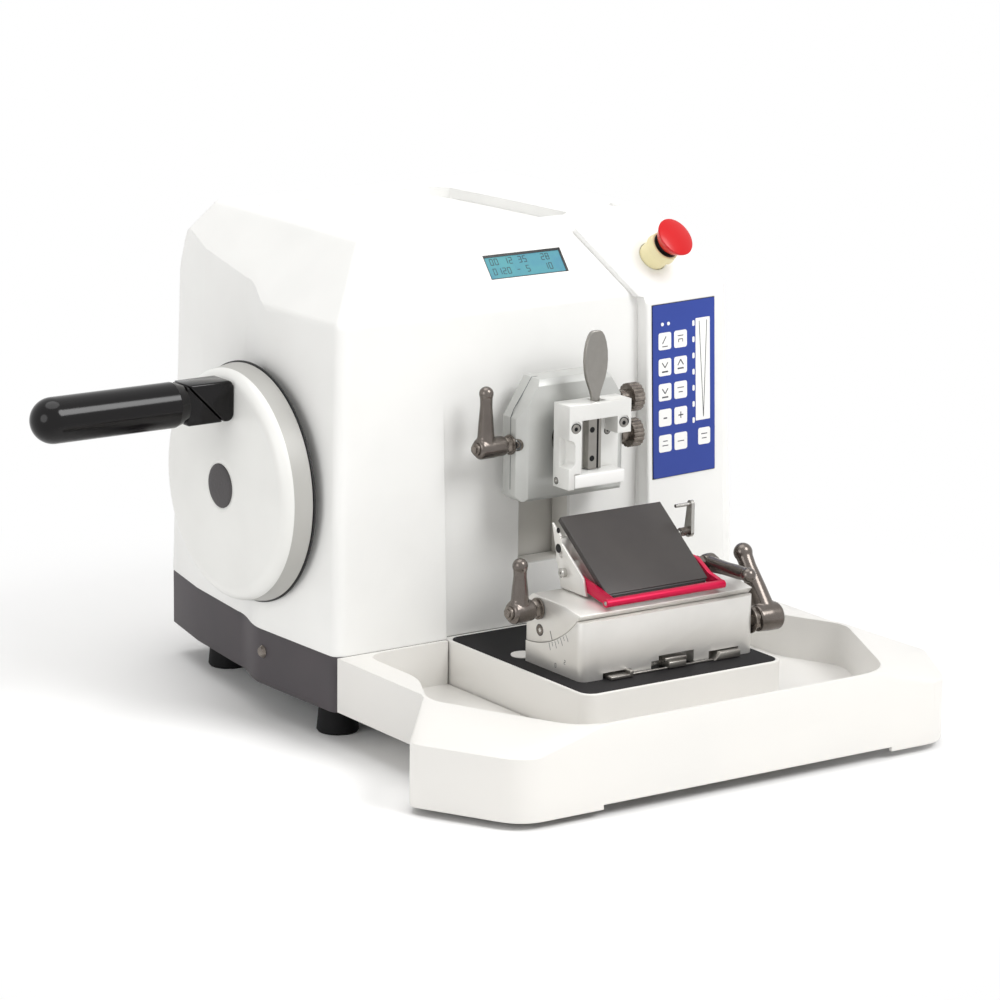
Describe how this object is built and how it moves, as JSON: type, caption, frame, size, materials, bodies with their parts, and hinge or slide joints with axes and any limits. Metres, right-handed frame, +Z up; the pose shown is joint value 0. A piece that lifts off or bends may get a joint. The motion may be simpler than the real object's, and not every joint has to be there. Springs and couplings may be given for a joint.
{
  "type": "rotary microtome",
  "caption": "Rotary microtome: handwheel-driven vertical carriage, motor feed, tilting cassette vise, tiltable blade holder with finger guard, console and lift-off section-waste tray",
  "frame": {"origin": "Centre of the bounding box at the height of the table, with the handle at twelve o'clock and the carriage at the top of its stroke", "axes": "+X to the operator's right along the cutting edge (the handwheel is on -X), +Y from the operator to the rear, +Z up"},
  "size_m": [0.5359, 0.4652, 0.3216],
  "materials": {
    "white_housing": "fine satin",
    "white_plastic": "satin",
    "dark_skirt": "fine grain",
    "rubber_black": "matte",
    "steel_screw": "turned",
    "lcd": "flat",
    "keypad_blue": "membrane film",
    "collar_yellow": "smooth",
    "stop_red": "smooth",
    "black_plastic": "smooth",
    "board_green": "laminate",
    "light_grey": "satin",
    "cast_grey": "painted",
    "bearing_steel": "ground",
    "wheel_grey": "satin",
    "cap_grey": "textured",
    "black_gloss": "glossy",
    "head_grey": "satin",
    "lever_grey": "satin metallic",
    "holder_alu": "bead blasted",
    "plate_dark": "black chrome",
    "guard_crimson": "anodised look",
    "black_steel": "blackened"
  },
  "bodies": {
    "machine": {"base_plate": "cast_grey", "body_skirt": "dark_skirt", "rubber_feet": "rubber_black", "skirt_screws": "steel_screw", "hood": "white_housing", "hood_screw": "steel_screw", "console": "white_housing", "display": "lcd", "keypad": "keypad_blue", "estop_collar": "collar_yellow", "power_inlet": "black_plastic", "control_board": "board_green", "slot_liner": "light_grey", "platform": "white_plastic", "platform_mat": "rubber_black", "platform_disc": "white_plastic", "dovetail_rail": "bearing_steel", "pedestal": "cast_grey", "bearings": "bearing_steel", "guide_column": "cast_grey", "guide_rails": "bearing_steel"},
    "estop": {"estop_button": "stop_red"},
    "rocker": {"rocker_switch": "black_plastic"},
    "crank": {"handwheel": "wheel_grey", "wheel_ring": "black_plastic", "hub_cap": "cap_grey", "crankshaft": "bearing_steel", "crank_disc": "cast_grey", "handle_lug": "black_gloss"},
    "fold": {"handle_knuckle": "black_gloss"},
    "hand_grip": {"grip": "black_gloss"},
    "slide_unit": {"carriage": "cast_grey", "slot_shield": "light_grey", "feed_motor": "black_plastic"},
    "feed_unit": {"feed_ram": "bearing_steel", "specimen_head": "head_grey"},
    "head_clamp": {"head_lever": "lever_grey"},
    "ring": {"swivel_ring": "bearing_steel"},
    "vise": {"vise_frame": "light_grey", "vise_guide": "black_steel", "swivel_ball": "bearing_steel"},
    "jaw": {"vise_jaw": "white_plastic"},
    "paddle": {"paddle_lever": "bearing_steel"},
    "upper_knob": {"knob_upper": "bearing_steel"},
    "lower_knob": {"knob_lower": "bearing_steel"},
    "holder": {"holder_base": "holder_alu", "clamp_strip": "lever_grey"},
    "segment": {"blade_segment": "holder_alu"},
    "segment_clamp": {"segment_lever": "lever_grey"},
    "shift_clamp": {"shift_lever": "lever_grey"},
    "seat": {"blade_seat": "holder_alu"},
    "plate": {"pressure_plate": "plate_dark"},
    "blade_clamp": {"blade_lever": "lever_grey"},
    "release": {"release_lever": "bearing_steel"},
    "guard": {"finger_guard": "guard_crimson"},
    "tray": {"waste_tray": "white_plastic"}
  },
  "joints": [
    {"name": "handwheel_turn", "type": "hinge", "parent": "machine", "child": "crank", "pos_m": [-0.034, 0.08015, 0.1565], "axis": [1, 0, 0], "continuous": true},
    {"name": "handle_fold", "type": "hinge", "parent": "crank", "child": "fold", "pos_m": [-0.145, 0.07265, 0.2165], "axis": [-0.7071, 0, -0.7071], "range_deg": [0, 180]},
    {"name": "grip_spin", "type": "hinge", "parent": "fold", "child": "hand_grip", "pos_m": [-0.204, 0.07265, 0.2165], "axis": [1, 0, 0], "continuous": true},
    {"name": "carriage_travel", "type": "slide", "parent": "machine", "child": "slide_unit", "axis": [0, 0, 1], "range_m": [-0.064, 0]},
    {"name": "specimen_feed", "type": "slide", "parent": "slide_unit", "child": "feed_unit", "axis": [0, -1, 0], "range_m": [0, 0.028]},
    {"name": "head_clamp_turn", "type": "hinge", "parent": "feed_unit", "child": "head_clamp", "pos_m": [0.016, -0.03335, 0.188], "axis": [1, 0, 0], "range_deg": [0, 70]},
    {"name": "tilt_x", "type": "hinge", "parent": "feed_unit", "child": "ring", "pos_m": [0.068, -0.03035, 0.191], "axis": [1, 0, 0], "range_deg": [-8, 8]},
    {"name": "tilt_z", "type": "hinge", "parent": "ring", "child": "vise", "pos_m": [0.068, -0.03035, 0.191], "axis": [0, 0, 1], "range_deg": [-8, 8]},
    {"name": "jaw_travel", "type": "slide", "parent": "vise", "child": "jaw", "axis": [0, 0, 1], "range_m": [-0.005, 0]},
    {"name": "paddle_turn", "type": "hinge", "parent": "vise", "child": "paddle", "pos_m": [0.072, -0.06535, 0.2135], "axis": [1, 0, 0], "range_deg": [-38, 0]},
    {"name": "knob_upper_turn", "type": "hinge", "parent": "feed_unit", "child": "upper_knob", "pos_m": [0.116, -0.03455, 0.209], "axis": [1, 0, 0], "range_deg": [-180, 180]},
    {"name": "knob_lower_turn", "type": "hinge", "parent": "feed_unit", "child": "lower_knob", "pos_m": [0.116, -0.03455, 0.185], "axis": [1, 0, 0], "range_deg": [-180, 180]},
    {"name": "holder_shift", "type": "slide", "parent": "machine", "child": "holder", "axis": [0, 1, 0], "range_m": [-0.02, 0.002]},
    {"name": "clearance_angle", "type": "hinge", "parent": "holder", "child": "segment", "pos_m": [0.068, -0.08635, 0.151], "axis": [1, 0, 0], "range_deg": [-5, 5]},
    {"name": "segment_clamp_turn", "type": "hinge", "parent": "holder", "child": "segment_clamp", "pos_m": [0.146, -0.14285, 0.079], "axis": [1, 0, 0], "range_deg": [0, 60]},
    {"name": "shift_clamp_turn", "type": "hinge", "parent": "segment", "child": "shift_clamp", "pos_m": [-0.004, -0.10135, 0.097], "axis": [1, 0, 0], "range_deg": [0, 70]},
    {"name": "seat_shift", "type": "slide", "parent": "segment", "child": "seat", "axis": [1, 0, 0], "range_m": [-0.006, 0.006]},
    {"name": "plate_open", "type": "hinge", "parent": "seat", "child": "plate", "pos_m": [0.068, -0.13735, 0.111], "axis": [1, 0, 0], "range_deg": [0, 30]},
    {"name": "blade_clamp_turn", "type": "hinge", "parent": "seat", "child": "blade_clamp", "pos_m": [0.116, -0.11435, 0.1128], "axis": [1, 0, 0], "range_deg": [-50, 0]},
    {"name": "release_turn", "type": "hinge", "parent": "seat", "child": "release", "pos_m": [0.116, -0.09885, 0.1315], "axis": [1, 0, 0], "range_deg": [0, 25], "stiffness_Nm_per_rad": 0.01},
    {"name": "guard_flip", "type": "hinge", "parent": "seat", "child": "guard", "pos_m": [0.068, -0.09835, 0.117], "axis": [1, 0, 0], "range_deg": [-65, 0]},
    {"name": "tray_pull", "type": "slide", "parent": "machine", "child": "tray", "axis": [0, -1, 0], "range_m": [0, 0.175]},
    {"name": "stop_press", "type": "slide", "parent": "machine", "child": "estop", "axis": [0.1564, -0.7681, 0.621], "range_m": [-0.003, 0], "stiffness_N_per_m": 800},
    {"name": "rocker_tilt", "type": "hinge", "parent": "machine", "child": "rocker", "pos_m": [0.1775, 0.23105, 0.086], "axis": [1, 0, 0], "range_deg": [-10, 10]}
  ],
  "couplings": [
    {"joint": "paddle_turn", "follows": "jaw_travel", "rad_per_m": 122.17},
    {"joint": "knob_upper_turn", "follows": "tilt_x", "ratio": 22.5},
    {"joint": "knob_lower_turn", "follows": "tilt_z", "ratio": 22.5}
  ]
}
